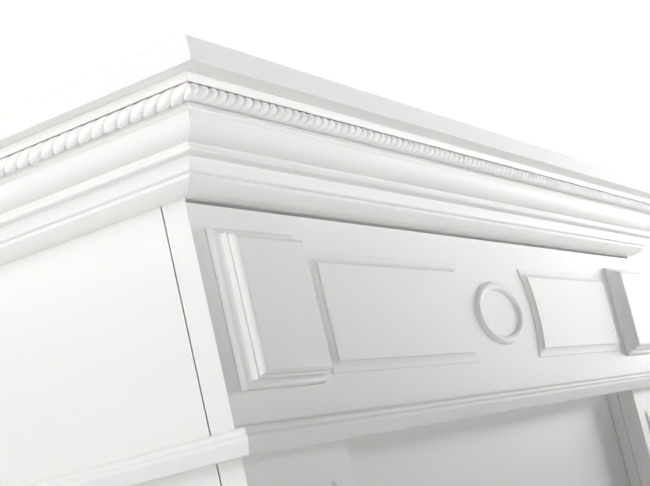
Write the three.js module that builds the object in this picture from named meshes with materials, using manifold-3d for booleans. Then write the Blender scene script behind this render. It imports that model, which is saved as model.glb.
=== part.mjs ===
// A painted timber fireplace surround: shelf, corner-mitred cornice with a rope strip, frieze with
// two raised panels and an oval bead, two raised blocks, a lower moulding and two fluted pilasters.
// Millimetres, +X to the right along the front, +Y back to the wall, +Z up.
// The origin is the centre of the footprint of the whole piece, on the floor.

import * as THREE from 'three';
import { mergeVertices } from 'three/addons/utils/BufferGeometryUtils.js';
import Module from 'manifold-3d';

const wasm = await Module();
wasm.setup();

// Clearances between pieces that touch.
const GAP = 0.3;

// The case: boards and the levels that they stand at.
const CASE_WIDTH = 1202;
const CASE_DEPTH = 300;
const LEG_HEIGHT = 800;
const LOWER_MOULDING_HEIGHT = 20.5;
const FRIEZE_HEIGHT = 181.3;
const CORNICE_HEIGHT = 69;
const SHELF_THICKNESS = 19;
const SHELF_OVERHANG = 81;
const FRONT_BOARD = 22;
const SIDE_BOARD = 18;
const FRIEZE_HIDDEN_JOINT = 5;

// The parts between and behind the legs.
const PILASTER_WIDTH = 166.5;
const BATTEN_THICKNESS = 16;
const BATTEN_WIDTH = 60;
const INNER_PANEL_THICKNESS = 18;
const OPENING_WIDTH = 620;
const OPENING_HEIGHT = 600;
const BACK_RAIL_HEIGHT = 70;
const BACK_RAIL_THICKNESS = 18;

// The cornice: a stack of mouldings, each band with its own projection and height.
const DRIP_PROJECTION = 10;
const LOWER_OVOLO_PROJECTION = 23.3;
const LOWER_OVOLO_HEIGHT = 7;
const LOWER_OVOLO_BULGE = 1;
const QUIRK_HEIGHT = 3.5;
const CAVETTO_EDGE = 3.2;
const CAVETTO_HEIGHT = 9;
const CAVETTO_RISE = 3;
const BEAD_STEP = 7.5;
const BEAD_HEIGHT = 4;
const BEAD_PROJECTION = 39.6;
const BIG_OVOLO_START = 37;
const BIG_OVOLO_BOTTOM = 29.2;
const BIG_OVOLO_TOP = 46.2;
const BIG_OVOLO_PROJECTION = 52.5;
const UPPER_FILLET_PROJECTION = 51.3;
const ROPE_SEAT_BOTTOM = 50.2;
const ROPE_SEAT_TOP = 62.1;
const CROWN_BAND_PROJECTION = 65.2;
const CROWN_BAND_BULGE = 0.9;

// The rope strip: two strands laid round each other on a flat back.
const ROPE_RADIUS = 5.7;
const ROPE_PITCH = 12.2;
const ROPE_STRANDS = 2;
const ROPE_GROOVE = 1.5;
const ROPE_CENTRE_PROJECTION = 60.4;
const ROPE_ARC = THREE.MathUtils.degToRad(250);
const ROPE_ARC_STEPS = 5;

// The lower moulding.
const NOSE_TOP_PROJECTION = 23;
const NOSE_TOP_FILLET = 4;
const NOSE_QUIRK = 0.7;
const NOSE_QUIRK_HEIGHT = 1.8;
const NOSE_PROJECTION = 24.3;
const NOSE_RADIUS = 2.6;
const NOSE_FOOT_PROJECTION = 19;

// The raised blocks over the pilasters.
const BLOCK_WIDTH = 127;
const BLOCK_HEIGHT = 129;
const BLOCK_TOP_DROP = 23.5;
const BLOCK_EDGE = 5;
const BLOCK_EDGE_ROUND = 2;
const BLOCK_COVE = 4;
const BLOCK_STEP = 8;
const BLOCK_FILLET = 6.2;
const BLOCK_LEDGE = 2;
const BLOCK_QUIRK = 1.1;
const BLOCK_OVOLO = 5.2;

// The raised panels and the oval bead of the frieze.
const PANEL_OUTER_INSET = 171;
const PANEL_TOP_DROP = 36;
const PANEL_HEIGHT = 108.5;
const PANEL_BORDER = 10.7;
const PANEL_EDGE = 1.4;
const PANEL_RISE = 3.4;
const PANEL_FIELD_STEP = 1.6;
const PANEL_FIELD_STEP_WIDTH = 0.9;
const PANEL_END_RADIUS = 108;
const PANEL_END_STEPS = 14;
const OVAL_HALF_WIDTH = 63.5;
const OVAL_HALF_HEIGHT = 31.8;
const OVAL_BEAD_WIDTH = 10.7;
const OVAL_BEAD_HEIGHT = 4;
const OVAL_STEPS = 48;
const RELIEF_ROOT = 3;

// The flutes of the pilasters.
const FLUTE_COUNT = 3;
const FLUTE_PITCH = 45;
const FLUTE_WIDTH = 14;
const FLUTE_DEPTH = 5;
const FLUTE_TOP_MARGIN = 31;
const FLUTE_BOTTOM_MARGIN = 30;
const FLUTE_CAP_STEPS = 6;
const FLUTE_ROUND_STEPS = 20;

// The plinths at the foot of each leg.
const PLINTH_HEIGHT = 120;
const PLINTH_THICKNESS = 14;
const PLINTH_OVOLO = 9;

const ROUND_STEPS = 5;

// Levels and planes worked out from the sizes above.
const FRIEZE_BOTTOM = LEG_HEIGHT + LOWER_MOULDING_HEIGHT;
const CORNICE_BOTTOM = FRIEZE_BOTTOM + FRIEZE_HEIGHT;
const CORNICE_TOP = CORNICE_BOTTOM + CORNICE_HEIGHT;
const SHELF_BOTTOM = CORNICE_TOP + GAP;
const FRIEZE_BOARD_BOTTOM = LEG_HEIGHT + FRIEZE_HIDDEN_JOINT;
const HALF_CASE = CASE_WIDTH / 2;
const TOTAL_DEPTH = CASE_DEPTH + SHELF_OVERHANG;
const BACK = TOTAL_DEPTH / 2;
const CASE_FRONT = BACK - CASE_DEPTH;
const FRONT_BOARD_BACK = CASE_FRONT + FRONT_BOARD;
const SIDE_FRONT = FRONT_BOARD_BACK + GAP;
const SIDE_INNER = HALF_CASE - SIDE_BOARD;
const BATTEN_BACK = FRONT_BOARD_BACK + BATTEN_THICKNESS;
const INNER_PANEL_FRONT = BATTEN_BACK + GAP;
const PILASTER_INNER = HALF_CASE - PILASTER_WIDTH;
const PILASTER_CENTRE = HALF_CASE - PILASTER_WIDTH / 2;
const PILASTER_TOP = FRIEZE_BOARD_BOTTOM - GAP;
const HEADER_TOP = FRIEZE_BOARD_BOTTOM + BATTEN_WIDTH;
const PANEL_TOP = CORNICE_BOTTOM - PANEL_TOP_DROP;
const OVAL_CENTRE_HEIGHT = PANEL_TOP - PANEL_HEIGHT / 2;

// Joined rings of points. Each ring runs counter-clockwise seen from the last ring's side.
// With an outline the first and last rings are capped; without one the last joins the first.
function solidFromRings(rings, outline) {
  const count = rings[0].length;
  const faces = [];
  const spans = outline ? rings.length - 1 : rings.length;
  for (let ring = 0; ring < spans; ring += 1) {
    const here = ring * count;
    const next = ((ring + 1) % rings.length) * count;
    for (let i = 0; i < count; i += 1) {
      const j = (i + 1) % count;
      faces.push(here + i, here + j, next + j);
      faces.push(here + i, next + j, next + i);
    }
  }
  if (outline) {
    const last = (rings.length - 1) * count;
    for (const [a, b, c] of THREE.ShapeUtils.triangulateShape(outline, [])) {
      faces.push(a, c, b);
      faces.push(last + a, last + b, last + c);
    }
  }
  const geometry = new THREE.BufferGeometry();
  const positions = rings.flat().flatMap((point) => point.toArray());
  geometry.setAttribute('position', new THREE.Float32BufferAttribute(positions, 3));
  geometry.setIndex(faces);
  return geometry;
}

function boxBetween(low, high) {
  const size = high.map((value, i) => value - low[i]);
  const middle = high.map((value, i) => (value + low[i]) / 2);
  return new THREE.BoxGeometry(...size).translate(...middle);
}

function toManifold(geometry) {
  const bare = geometry.clone();
  bare.deleteAttribute('normal');
  bare.deleteAttribute('uv');
  const merged = mergeVertices(bare);
  return new wasm.Manifold(new wasm.Mesh({
    numProp: 3,
    vertProperties: new Float32Array(merged.attributes.position.array),
    triVerts: new Uint32Array(merged.index.array),
  }));
}

function fromManifold(solid) {
  const mesh = solid.getMesh();
  const geometry = new THREE.BufferGeometry();
  geometry.setAttribute('position', new THREE.BufferAttribute(mesh.vertProperties, 3));
  geometry.setIndex(new THREE.BufferAttribute(mesh.triVerts, 1));
  return geometry;
}

// Points of an elliptical arc as [outward, up] pairs, the angle in degrees from outward to up.
function arcPoints(centre, radii, from, to, steps) {
  const points = [];
  for (let i = 0; i <= steps; i += 1) {
    const angle = THREE.MathUtils.degToRad(from + ((to - from) * i) / steps);
    points.push([
      centre[0] + radii[0] * Math.cos(angle),
      centre[1] + radii[1] * Math.sin(angle),
    ]);
  }
  return points;
}

// A shallow curve from one point to another, bowed to the right of its direction by the bulge.
function bowedPoints(from, to, bulge, steps) {
  const run = [to[0] - from[0], to[1] - from[1]];
  const length = Math.hypot(...run);
  const points = [];
  for (let i = 0; i <= steps; i += 1) {
    const t = i / steps;
    const bow = 4 * bulge * t * (1 - t);
    points.push([
      from[0] + run[0] * t + (bow * run[1]) / length,
      from[1] + run[1] * t - (bow * run[0]) / length,
    ]);
  }
  return points;
}

// A moulding run along X with its back on the plane Y = 0 and its face towards -Y. The profile is
// [outward, up]. An end with a mitre of 1 is cut at 45 degrees, longer at the face; 0 is square.
function mitredRun(profile, start, end, startMitre, endMitre) {
  const outline = profile.map(([outward, up]) => new THREE.Vector2(-outward, up));
  if (THREE.ShapeUtils.isClockWise(outline)) outline.reverse();
  const half = (GAP / 2) * Math.SQRT2;
  const first = start + half * startMitre;
  const last = end - half * endMitre;
  const rings = [
    outline.map((p) => new THREE.Vector3(first + startMitre * p.x, p.x, p.y)),
    outline.map((p) => new THREE.Vector3(last - endMitre * p.x, p.x, p.y)),
  ];
  return solidFromRings(rings, outline);
}

// The cornice section, from the back of its foot out and up to the underside of the shelf.
function corniceProfile() {
  const ovoloTop = LOWER_OVOLO_HEIGHT;
  const cavettoBottom = ovoloTop + QUIRK_HEIGHT;
  const cavettoTop = cavettoBottom + CAVETTO_HEIGHT;
  const beadBottom = cavettoTop + 2;
  const cavettoFace = LOWER_OVOLO_PROJECTION + CAVETTO_EDGE;
  const cavettoOut = cavettoFace + CAVETTO_RISE;
  const bigCentre = [BIG_OVOLO_START, BIG_OVOLO_TOP];
  const bigRadii = [BIG_OVOLO_PROJECTION - BIG_OVOLO_START, BIG_OVOLO_TOP - BIG_OVOLO_BOTTOM];
  const bandFoot = [CROWN_BAND_PROJECTION - 1, ROPE_SEAT_TOP];
  const ropeSeatDepth = ROPE_CENTRE_PROJECTION + ROPE_RADIUS * Math.cos(ROPE_ARC / 2) - GAP;
  return [
    [GAP, 0],
    ...bowedPoints([DRIP_PROJECTION, 0], [LOWER_OVOLO_PROJECTION, ovoloTop], LOWER_OVOLO_BULGE, 4),
    [LOWER_OVOLO_PROJECTION, cavettoBottom],
    [cavettoFace, cavettoBottom + 0.4],
    ...bowedPoints([cavettoFace + 0.6, cavettoBottom + 1.2], [cavettoOut, cavettoTop], -0.3, 4),
    [cavettoOut, beadBottom],
    [cavettoOut + BEAD_STEP, beadBottom],
    ...arcPoints([BEAD_PROJECTION - 2, beadBottom + 2], [2, 2], -80, 60, 4),
    [BIG_OVOLO_START, beadBottom + BEAD_HEIGHT],
    [BIG_OVOLO_START, BIG_OVOLO_BOTTOM],
    ...arcPoints(bigCentre, bigRadii, -78, 0, 7),
    [UPPER_FILLET_PROJECTION + 0.2, BIG_OVOLO_TOP + 1],
    [UPPER_FILLET_PROJECTION, ROPE_SEAT_BOTTOM],
    [ropeSeatDepth, ROPE_SEAT_BOTTOM],
    [ropeSeatDepth, ROPE_SEAT_TOP],
    ...bowedPoints(bandFoot, [CROWN_BAND_PROJECTION, CORNICE_HEIGHT], CROWN_BAND_BULGE, 4),
    [GAP, CORNICE_HEIGHT],
  ];
}

// The lower moulding: a top fillet, a fine quirk, a small nose and a slanting face under it.
function lowerMouldingProfile() {
  const quirkTop = LOWER_MOULDING_HEIGHT - NOSE_TOP_FILLET;
  const noseTop = quirkTop - NOSE_QUIRK_HEIGHT;
  const noseCentre = [NOSE_PROJECTION - NOSE_RADIUS, noseTop - NOSE_RADIUS];
  return [
    [GAP, 0],
    [NOSE_FOOT_PROJECTION - 1, 0],
    [NOSE_FOOT_PROJECTION, 1],
    ...arcPoints(noseCentre, [NOSE_RADIUS, NOSE_RADIUS], -30, 75, ROUND_STEPS),
    [NOSE_TOP_PROJECTION - NOSE_QUIRK, noseTop],
    [NOSE_TOP_PROJECTION - NOSE_QUIRK, quirkTop],
    [NOSE_TOP_PROJECTION, quirkTop],
    [NOSE_TOP_PROJECTION, LOWER_MOULDING_HEIGHT - 1],
    [NOSE_TOP_PROJECTION - 1, LOWER_MOULDING_HEIGHT],
    [GAP, LOWER_MOULDING_HEIGHT],
  ];
}

function plinthProfile() {
  const shoulder = PLINTH_HEIGHT - PLINTH_OVOLO;
  const inner = PLINTH_THICKNESS - PLINTH_OVOLO;
  return [
    [GAP, 0],
    [PLINTH_THICKNESS, 0],
    [PLINTH_THICKNESS, shoulder],
    ...arcPoints([inner, shoulder], [PLINTH_OVOLO - 1, PLINTH_OVOLO], 0, 90, ROUND_STEPS),
    [GAP, PLINTH_HEIGHT],
  ];
}

// A straight length of rope along X. Every second ring of points follows the groove between two
// strands, and each ring is swept along X as it goes round, which lays the strands in a helix.
function straightRope(start, end) {
  const sweep = (ROPE_STRANDS * ROPE_PITCH) / (2 * Math.PI);
  const rings = [];
  let outline = [];
  const columns = Math.ceil((end - start) / (ROPE_PITCH / 2));
  for (let i = 0; i <= columns; i += 1) {
    const radius = i % 2 === 0 ? ROPE_RADIUS : ROPE_RADIUS - ROPE_GROOVE;
    const ring = [];
    for (let step = 0; step <= ROPE_ARC_STEPS; step += 1) {
      const angle = ROPE_ARC / 2 - (ROPE_ARC * step) / ROPE_ARC_STEPS;
      const backEnd = step === 0 || step === ROPE_ARC_STEPS;
      const reach = backEnd ? ROPE_RADIUS : radius;
      ring.push(new THREE.Vector3(
        start + (i * ROPE_PITCH) / 2 + sweep * angle,
        -(ROPE_CENTRE_PROJECTION + reach * Math.cos(angle)),
        (ROPE_SEAT_BOTTOM + ROPE_SEAT_TOP) / 2 + radius * Math.sin(angle),
      ));
    }
    rings.push(ring);
    if (i === 0) outline = ring.map((point) => new THREE.Vector2(point.y, point.z));
  }
  if (THREE.ShapeUtils.isClockWise(outline)) {
    outline.reverse();
    rings.forEach((ring) => ring.reverse());
  }
  return solidFromRings(rings, outline);
}

// The rope cut to length and mitred as its moulding is.
function mitredRope(start, end, startMitre, endMitre) {
  const reach = SHELF_OVERHANG;
  const spare = reach + 2 * ROPE_PITCH;
  const cutter = mitredRun(
    [[GAP, ROPE_SEAT_BOTTOM - 1], [reach, ROPE_SEAT_BOTTOM - 1],
      [reach, ROPE_SEAT_TOP + 1], [GAP, ROPE_SEAT_TOP + 1]],
    start, end, startMitre, endMitre,
  );
  const rope = toManifold(straightRope(start - spare, end + spare));
  return fromManifold(rope.intersect(toManifold(cutter)));
}

// A stack of inset outlines raised from the front plane towards -Y. outlineAt gives the outline's
// corners for an inset, counter-clockwise seen from the front; steps are [inset, rise] pairs.
function raisedStack(outlineAt, steps, face) {
  const rings = steps.map(([inset, rise]) => outlineAt(inset).map(
    (point) => new THREE.Vector3(point.x, face - rise, point.y),
  ));
  return solidFromRings(rings, outlineAt(steps[0][0]));
}

function blockGeometry() {
  const outlineAt = (inset) => {
    const x = BLOCK_WIDTH / 2 - inset;
    const z = BLOCK_HEIGHT / 2 - inset;
    return [[-x, -z], [x, -z], [x, z], [-x, z]].map((point) => new THREE.Vector2(...point));
  };
  const coveFoot = BLOCK_EDGE + 1.2;
  const wallTop = BLOCK_STEP + BLOCK_FILLET;
  const ledge = BLOCK_STEP + BLOCK_LEDGE - 1.7;
  const ovoloFoot = wallTop + BLOCK_QUIRK;
  const steps = [
    [0, GAP],
    [0, BLOCK_EDGE - BLOCK_EDGE_ROUND],
    [BLOCK_EDGE_ROUND * 0.3, BLOCK_EDGE - 0.6],
    [BLOCK_EDGE_ROUND, BLOCK_EDGE + 0.9],
    [BLOCK_EDGE_ROUND + BLOCK_COVE * 0.6, coveFoot],
    [BLOCK_EDGE_ROUND + BLOCK_COVE, BLOCK_STEP],
    [BLOCK_EDGE_ROUND + BLOCK_COVE + 0.5, wallTop - 0.8],
    [ledge - 0.6, wallTop],
    [ledge, wallTop],
    [ledge, ovoloFoot],
    [ledge + BLOCK_OVOLO * 0.08, ovoloFoot + BLOCK_OVOLO * 0.38],
    [ledge + BLOCK_OVOLO * 0.3, ovoloFoot + BLOCK_OVOLO * 0.71],
    [ledge + BLOCK_OVOLO * 0.62, ovoloFoot + BLOCK_OVOLO * 0.92],
    [ledge + BLOCK_OVOLO, ovoloFoot + BLOCK_OVOLO],
  ];
  return raisedStack(outlineAt, steps, 0);
}

// The outline of the left panel for an inset: square at its outer end, hollowed at its inner end
// by an arc about the centre of the oval.
function panelOutline(inset) {
  const left = -HALF_CASE + PANEL_OUTER_INSET + inset;
  const top = PANEL_TOP - inset;
  const bottom = PANEL_TOP - PANEL_HEIGHT + inset;
  const radius = PANEL_END_RADIUS + inset;
  const half = Math.asin((top - OVAL_CENTRE_HEIGHT) / radius);
  const points = [new THREE.Vector2(left, top), new THREE.Vector2(left, bottom)];
  for (let i = 0; i <= PANEL_END_STEPS; i += 1) {
    const angle = Math.PI + half * (1 - (2 * i) / PANEL_END_STEPS);
    points.push(new THREE.Vector2(
      radius * Math.cos(angle),
      OVAL_CENTRE_HEIGHT + radius * Math.sin(angle),
    ));
  }
  return points;
}

function panelRelief(side) {
  const innerStep = PANEL_BORDER - PANEL_FIELD_STEP_WIDTH;
  const steps = [
    [0, -RELIEF_ROOT],
    [0, PANEL_EDGE * 0.8],
    [PANEL_EDGE * 0.4, PANEL_EDGE],
    ...bowedPoints([PANEL_EDGE, PANEL_EDGE], [innerStep, PANEL_RISE], 0.7, 3),
    [innerStep + 0.1, PANEL_RISE + PANEL_FIELD_STEP * 0.8],
    [PANEL_BORDER, PANEL_RISE + PANEL_FIELD_STEP],
  ];
  const outlineAt = (inset) => {
    const points = panelOutline(inset);
    if (side < 0) return points;
    return points.map((point) => new THREE.Vector2(-point.x, point.y)).reverse();
  };
  return raisedStack(outlineAt, steps, CASE_FRONT);
}

function ovalBead() {
  const profile = [
    [OVAL_BEAD_WIDTH / 2, -RELIEF_ROOT],
    ...arcPoints([0, 0], [OVAL_BEAD_WIDTH / 2, OVAL_BEAD_HEIGHT], 0, 180, 6),
    [-OVAL_BEAD_WIDTH / 2, -RELIEF_ROOT],
  ];
  const rings = profile.map(([offset, rise]) => {
    const ring = [];
    for (let i = 0; i < OVAL_STEPS; i += 1) {
      const angle = (2 * Math.PI * i) / OVAL_STEPS;
      const normal = new THREE.Vector2(
        OVAL_HALF_HEIGHT * Math.cos(angle),
        OVAL_HALF_WIDTH * Math.sin(angle),
      ).normalize();
      ring.push(new THREE.Vector3(
        OVAL_HALF_WIDTH * Math.cos(angle) + offset * normal.x,
        CASE_FRONT - rise,
        OVAL_CENTRE_HEIGHT + OVAL_HALF_HEIGHT * Math.sin(angle) + offset * normal.y,
      ));
    }
    return ring;
  });
  return solidFromRings(rings, null);
}

function friezeGeometry() {
  const board = toManifold(boxBetween(
    [-HALF_CASE, CASE_FRONT, FRIEZE_BOARD_BOTTOM],
    [HALF_CASE, FRONT_BOARD_BACK, CORNICE_TOP],
  ));
  return fromManifold(board
    .add(toManifold(panelRelief(-1)))
    .add(toManifold(panelRelief(1)))
    .add(toManifold(ovalBead())));
}

// One pilaster board centred on X = 0, with round-ended flutes cut into its face.
function pilasterGeometry() {
  let board = toManifold(boxBetween(
    [-PILASTER_WIDTH / 2, CASE_FRONT, 0],
    [PILASTER_WIDTH / 2, FRONT_BOARD_BACK, PILASTER_TOP],
  ));
  const halfWidth = FLUTE_WIDTH / 2;
  const radius = (halfWidth ** 2 + FLUTE_DEPTH ** 2) / (2 * FLUTE_DEPTH);
  const top = LEG_HEIGHT - FLUTE_TOP_MARGIN - halfWidth;
  const bottom = PLINTH_HEIGHT + FLUTE_BOTTOM_MARGIN + halfWidth;
  for (let i = 0; i < FLUTE_COUNT; i += 1) {
    const cutter = new THREE.CapsuleGeometry(
      radius, top - bottom, FLUTE_CAP_STEPS, FLUTE_ROUND_STEPS,
    );
    cutter.rotateX(Math.PI / 2);
    cutter.translate(
      (i - (FLUTE_COUNT - 1) / 2) * FLUTE_PITCH,
      CASE_FRONT + FLUTE_DEPTH - radius,
      (top + bottom) / 2,
    );
    board = board.subtract(toManifold(cutter));
  }
  return fromManifold(board);
}

// The panel behind the pilasters, with the opening for the hearth cut up from the floor.
function innerPanelGeometry() {
  const half = SIDE_INNER - GAP;
  const opening = OPENING_WIDTH / 2;
  const top = HEADER_TOP;
  const shape = new THREE.Shape();
  shape.moveTo(-half, 0);
  shape.lineTo(-opening, 0);
  shape.lineTo(-opening, OPENING_HEIGHT);
  shape.lineTo(opening, OPENING_HEIGHT);
  shape.lineTo(opening, 0);
  shape.lineTo(half, 0);
  shape.lineTo(half, top);
  shape.lineTo(-half, top);
  shape.closePath();
  const geometry = new THREE.ExtrudeGeometry(shape, {
    depth: INNER_PANEL_THICKNESS,
    bevelEnabled: false,
  });
  geometry.rotateX(Math.PI / 2);
  return geometry.translate(0, INNER_PANEL_FRONT + INNER_PANEL_THICKNESS, 0);
}

const mantel = new THREE.Group();
const WHITE = 0xf4f3f0;
const INNER_WHITE = 0xefeeeb;

function addPiece(parent, name, geometry, colour = WHITE) {
  const material = new THREE.MeshStandardMaterial({ color: colour, roughness: 0.35, metalness: 0 });
  const mesh = new THREE.Mesh(geometry, material);
  mesh.name = name;
  parent.add(mesh);
  return mesh;
}

// Groups whose local -Y faces out of the front, the left side and the right side of the case.
function facingGroup(x, y, turn) {
  const group = new THREE.Group();
  group.position.set(x, y, 0);
  group.rotation.z = turn;
  mantel.add(group);
  return group;
}
const frontGroup = facingGroup(0, CASE_FRONT, 0);
const leftGroup = facingGroup(-HALF_CASE, 0, -Math.PI / 2);
const rightGroup = facingGroup(HALF_CASE, 0, Math.PI / 2);

// One kind of moulding run round the front and both sides, mitred at the corners.
function addWrap(name, build, height) {
  const pieces = [
    [frontGroup, 'front', build(-HALF_CASE, HALF_CASE, 1, 1)],
    [leftGroup, 'left', build(-BACK, -CASE_FRONT, 0, 1)],
    [rightGroup, 'right', build(CASE_FRONT, BACK, 1, 0)],
  ];
  for (const [group, side, geometry] of pieces) {
    addPiece(group, `${name}_${side}`, geometry).position.z = height;
  }
}

addPiece(mantel, 'top_board', boxBetween(
  [-HALF_CASE - SHELF_OVERHANG, -BACK, SHELF_BOTTOM],
  [HALF_CASE + SHELF_OVERHANG, BACK, SHELF_BOTTOM + SHELF_THICKNESS],
));
addWrap('cornice', (...ends) => mitredRun(corniceProfile(), ...ends), CORNICE_BOTTOM);
addWrap('rope', mitredRope, CORNICE_BOTTOM);
addWrap('lower_moulding', (...ends) => mitredRun(lowerMouldingProfile(), ...ends), LEG_HEIGHT);
addPiece(mantel, 'frieze_board', friezeGeometry());
addPiece(mantel, 'inner_panel', innerPanelGeometry(), INNER_WHITE);

// What stands on the left and again, mirrored, on the right.
for (const [side, sign, group] of [['left', -1, leftGroup], ['right', 1, rightGroup]]) {
  const block = addPiece(mantel, `block_${side}`, blockGeometry());
  const blockMiddle = CORNICE_BOTTOM - BLOCK_TOP_DROP - BLOCK_HEIGHT / 2;
  block.position.set(sign * PILASTER_CENTRE, CASE_FRONT, blockMiddle);

  const pilaster = addPiece(mantel, `pilaster_${side}`, pilasterGeometry());
  pilaster.position.x = sign * PILASTER_CENTRE;

  const sideBoard = boxBetween(
    [-SIDE_BOARD / 2, SIDE_FRONT, 0],
    [SIDE_BOARD / 2, BACK, CORNICE_TOP],
  );
  addPiece(mantel, `side_${side}`, sideBoard).position.x = sign * (HALF_CASE - SIDE_BOARD / 2);

  const batten = boxBetween(
    [-BATTEN_WIDTH / 2, FRONT_BOARD_BACK + GAP, 0],
    [BATTEN_WIDTH / 2, BATTEN_BACK, PILASTER_TOP],
  );
  const battenMiddle = PILASTER_INNER + BATTEN_WIDTH / 2;
  addPiece(mantel, `batten_${side}`, batten, INNER_WHITE).position.x = sign * battenMiddle;

  const plinthFront = mitredRun(
    plinthProfile(),
    sign < 0 ? -HALF_CASE : PILASTER_INNER,
    sign < 0 ? -PILASTER_INNER : HALF_CASE,
    sign < 0 ? 1 : 0,
    sign < 0 ? 0 : 1,
  );
  addPiece(frontGroup, `plinth_front_${side}`, plinthFront);
  const plinthSide = mitredRun(
    plinthProfile(),
    sign < 0 ? -BACK : CASE_FRONT,
    sign < 0 ? -CASE_FRONT : BACK,
    sign < 0 ? 0 : 1,
    sign < 0 ? 1 : 0,
  );
  addPiece(group, `plinth_side_${side}`, plinthSide);
}

addPiece(mantel, 'header_rail', boxBetween(
  [-SIDE_INNER + GAP, FRONT_BOARD_BACK + GAP, FRIEZE_BOARD_BOTTOM],
  [SIDE_INNER - GAP, BATTEN_BACK, HEADER_TOP],
), INNER_WHITE);
addPiece(mantel, 'back_rail', boxBetween(
  [-SIDE_INNER + GAP, BACK - BACK_RAIL_THICKNESS, CORNICE_TOP - BACK_RAIL_HEIGHT],
  [SIDE_INNER - GAP, BACK, CORNICE_TOP],
), INNER_WHITE);

export default mantel;
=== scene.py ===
import math
from functools import partial

import bpy
from bpy.props import FloatProperty, FloatVectorProperty, IntProperty, PointerProperty
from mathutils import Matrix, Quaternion, Vector


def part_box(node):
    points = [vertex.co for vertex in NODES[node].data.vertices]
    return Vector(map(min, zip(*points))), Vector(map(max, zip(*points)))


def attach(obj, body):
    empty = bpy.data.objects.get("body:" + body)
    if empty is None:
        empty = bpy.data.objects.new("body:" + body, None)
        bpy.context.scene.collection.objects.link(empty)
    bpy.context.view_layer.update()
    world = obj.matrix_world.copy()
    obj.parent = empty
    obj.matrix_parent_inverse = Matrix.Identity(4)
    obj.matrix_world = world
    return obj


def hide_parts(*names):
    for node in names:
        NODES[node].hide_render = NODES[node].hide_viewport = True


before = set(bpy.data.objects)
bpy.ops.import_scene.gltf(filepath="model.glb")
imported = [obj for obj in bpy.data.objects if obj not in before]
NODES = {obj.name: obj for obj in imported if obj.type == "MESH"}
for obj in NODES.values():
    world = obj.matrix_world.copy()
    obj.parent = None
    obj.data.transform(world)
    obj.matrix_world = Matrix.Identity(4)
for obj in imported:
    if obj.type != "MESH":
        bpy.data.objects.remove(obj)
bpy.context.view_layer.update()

bl_info = {
    "name": "Fireplace surround",
    "version": (1, 0, 0),
    "blender": (4, 5, 0),
    "location": "View3D > Sidebar > Surround",
    "description": "A white lacquered fireplace surround with a rope-moulded cornice",
    "category": "Add Mesh",
}

MM = 0.001

# Planes of the case, read from the frame.
CASE_LOW, CASE_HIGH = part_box("frieze_board")
SIDE_LOW, SIDE_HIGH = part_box("side_left")
PILASTER_LOW, PILASTER_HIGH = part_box("pilaster_left")
CORNICE_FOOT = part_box("cornice_front")[0].z
MOULDING_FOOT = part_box("lower_moulding_front")[0].z
HALF_CASE = CASE_HIGH.x
CASE_FRONT = PILASTER_LOW.y
CASE_BACK = SIDE_HIGH.y
PILASTER_INNER = -PILASTER_HIGH.x

# How near points are merged, and the angles in degrees over which shading stays smooth.
WELD = 0.01 * MM
FINE_WELD = 0.002 * MM
SMOOTH_ANGLE = 28
RELIEF_SMOOTH_ANGLE = 32
ROPE_SMOOTH_ANGLE = 50

# The eased edges of the boards.
FLAT_ANGLE = 1
EASED_ANGLE = 50
EASED_SEGMENTS = 3

# The thin line left between two mitred pieces, and the wood drawn past a run's ends before they
# are cut.
SEAM = 0.12 * MM
RUN_SPARE = 5 * MM

# The open joint down the case's side, in millimetres and degrees: the width of its mouth, the
# angle at which it widens inside and its depth.
JOINT_WIDTH = 0.7
JOINT_UNDERCUT = 40
JOINT_DEPTH = 14

# How far the back of every moulding stands off the case, in millimetres.
BACK_GAP = 0.3

# The cornice section, in millimetres out from the case and up from its foot.
CORNICE_HEIGHT = 69.2
DRIP = 10
LOWER_OVOLO = (23.3, 7)
LOWER_OVOLO_BULGE = 1
LOWER_OVOLO_LIP = (0.4, 0.8)
QUIRK_TOP = 10.5
CAVETTO_FOOT = 26.5
CAVETTO_EDGE = ((-0.6, 0.3), (0.6, 1.3))
CAVETTO_TOP = (29.5, 19.5)
CAVETTO_BULGE = -0.3
BEAD_BOTTOM = 21.5
BEAD_UNDERSIDE = 7.5
BEAD_FACE = 39.6
BEAD_ROUND = 2
BEAD_ARC = (-80, 62)
BEAD_HEIGHT = 4
BIG_OVOLO_START = 37
BIG_OVOLO_BOTTOM = 29.2
BIG_OVOLO_TOP = 46.2
BIG_OVOLO_FACE = 52.5
BIG_OVOLO_ARC = (-80, 0)
UPPER_FILLET = 51.3
UPPER_FILLET_FOOT = (0.2, 1)
ROPE_SEAT = (50.2, 62.1)
ROPE_SEAT_DEPTH = 53.9
ROPE_SEAT_HOLLOW = 0.8
ROPE_SEAT_LIP = 1.5
BAND_FACE = 65.2
BAND_LEAN = 1
BAND_BULGE = 0.9

# The rope: strands laid in a helix round a common axis.
ROPE_RADIUS = 6.4
ROPE_PITCH = 12.2
ROPE_STRANDS = 2
ROPE_AXIS_OUT = 60.6
GROOVE_DEPTH = 2.1
GROOVE_SHARPNESS = 3.6
ROPE_SPARE = 90 * MM
STRAND_STEPS = 20
HELIX_STEPS = 38

# The lower moulding section.
MOULDING_HEIGHT = 20.5
NOSE_TOP_FACE = 22
NOSE_TOP_FILLET = 4
NOSE_TOP_ROUND = 3.5
NOSE_QUIRK = (0.2, 0.9)
NOSE_FACE = 24.3
NOSE_RADIUS = 4
NOSE_ARC = (-40, 68)
FOOT_ROUND_CENTRE = (17, 2.4)
FOOT_ROUND = 2.4
FOOT_ARC = (-90, -10)
FOOT_RECESS = (14, 2.5)

# The plinth section.
PLINTH_HEIGHT = 120
PLINTH_FACE = 14
PLINTH_OVOLO = 9
PLINTH_STEP = 1

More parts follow.
